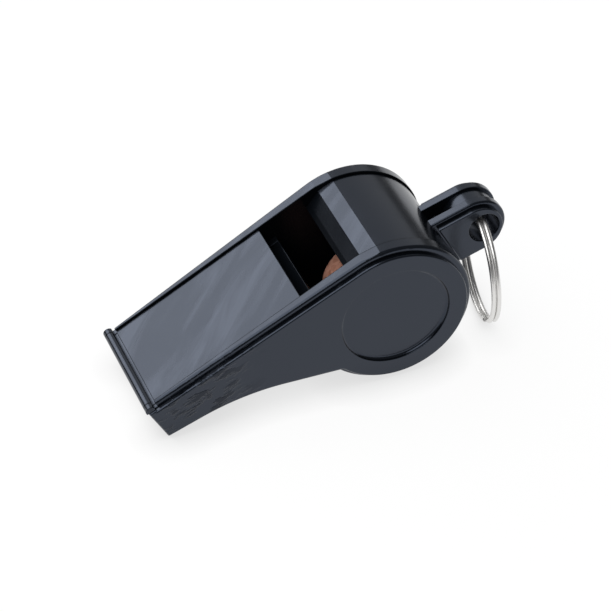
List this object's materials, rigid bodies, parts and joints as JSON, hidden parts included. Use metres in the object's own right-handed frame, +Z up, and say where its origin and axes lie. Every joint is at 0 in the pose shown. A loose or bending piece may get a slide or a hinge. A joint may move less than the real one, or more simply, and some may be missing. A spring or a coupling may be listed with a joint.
{
  "type": "pea whistle",
  "caption": "Moulded black pea whistle with a sound window on top, a cork pea in its round drum and a split ring through a lug at the back.",
  "frame": {"origin": "centre of the bounding box at its base, where the whistle stands on its drum and on the lower edge of its mouthpiece", "axes": "+X from the mouthpiece to the lug, +Y across the width to the player's left, +Z up"},
  "size_m": [0.054, 0.0207, 0.022],
  "materials": {
    "black_plastic": "gloss, lightly scuffed",
    "cork": "bare cork",
    "nickel": "nickel-plated steel wire"
  },
  "bodies": {
    "whistle": {"body": "black_plastic", "left_cover": "black_plastic", "right_cover": "black_plastic"},
    "pea": {"pea": "cork"},
    "ring": {"split_ring": "nickel"}
  },
  "joints": [
    {"name": "pea_orbit", "type": "hinge", "parent": "whistle", "child": "pea", "pos_m": [0.00784, 0, 0.01082], "axis": [0, 1, 0], "continuous": true},
    {"name": "ring_swing", "type": "hinge", "parent": "whistle", "child": "ring", "pos_m": [0.02361, 0, 0.01532], "axis": [0, 1, 0], "range_deg": [-230, 16]}
  ]
}
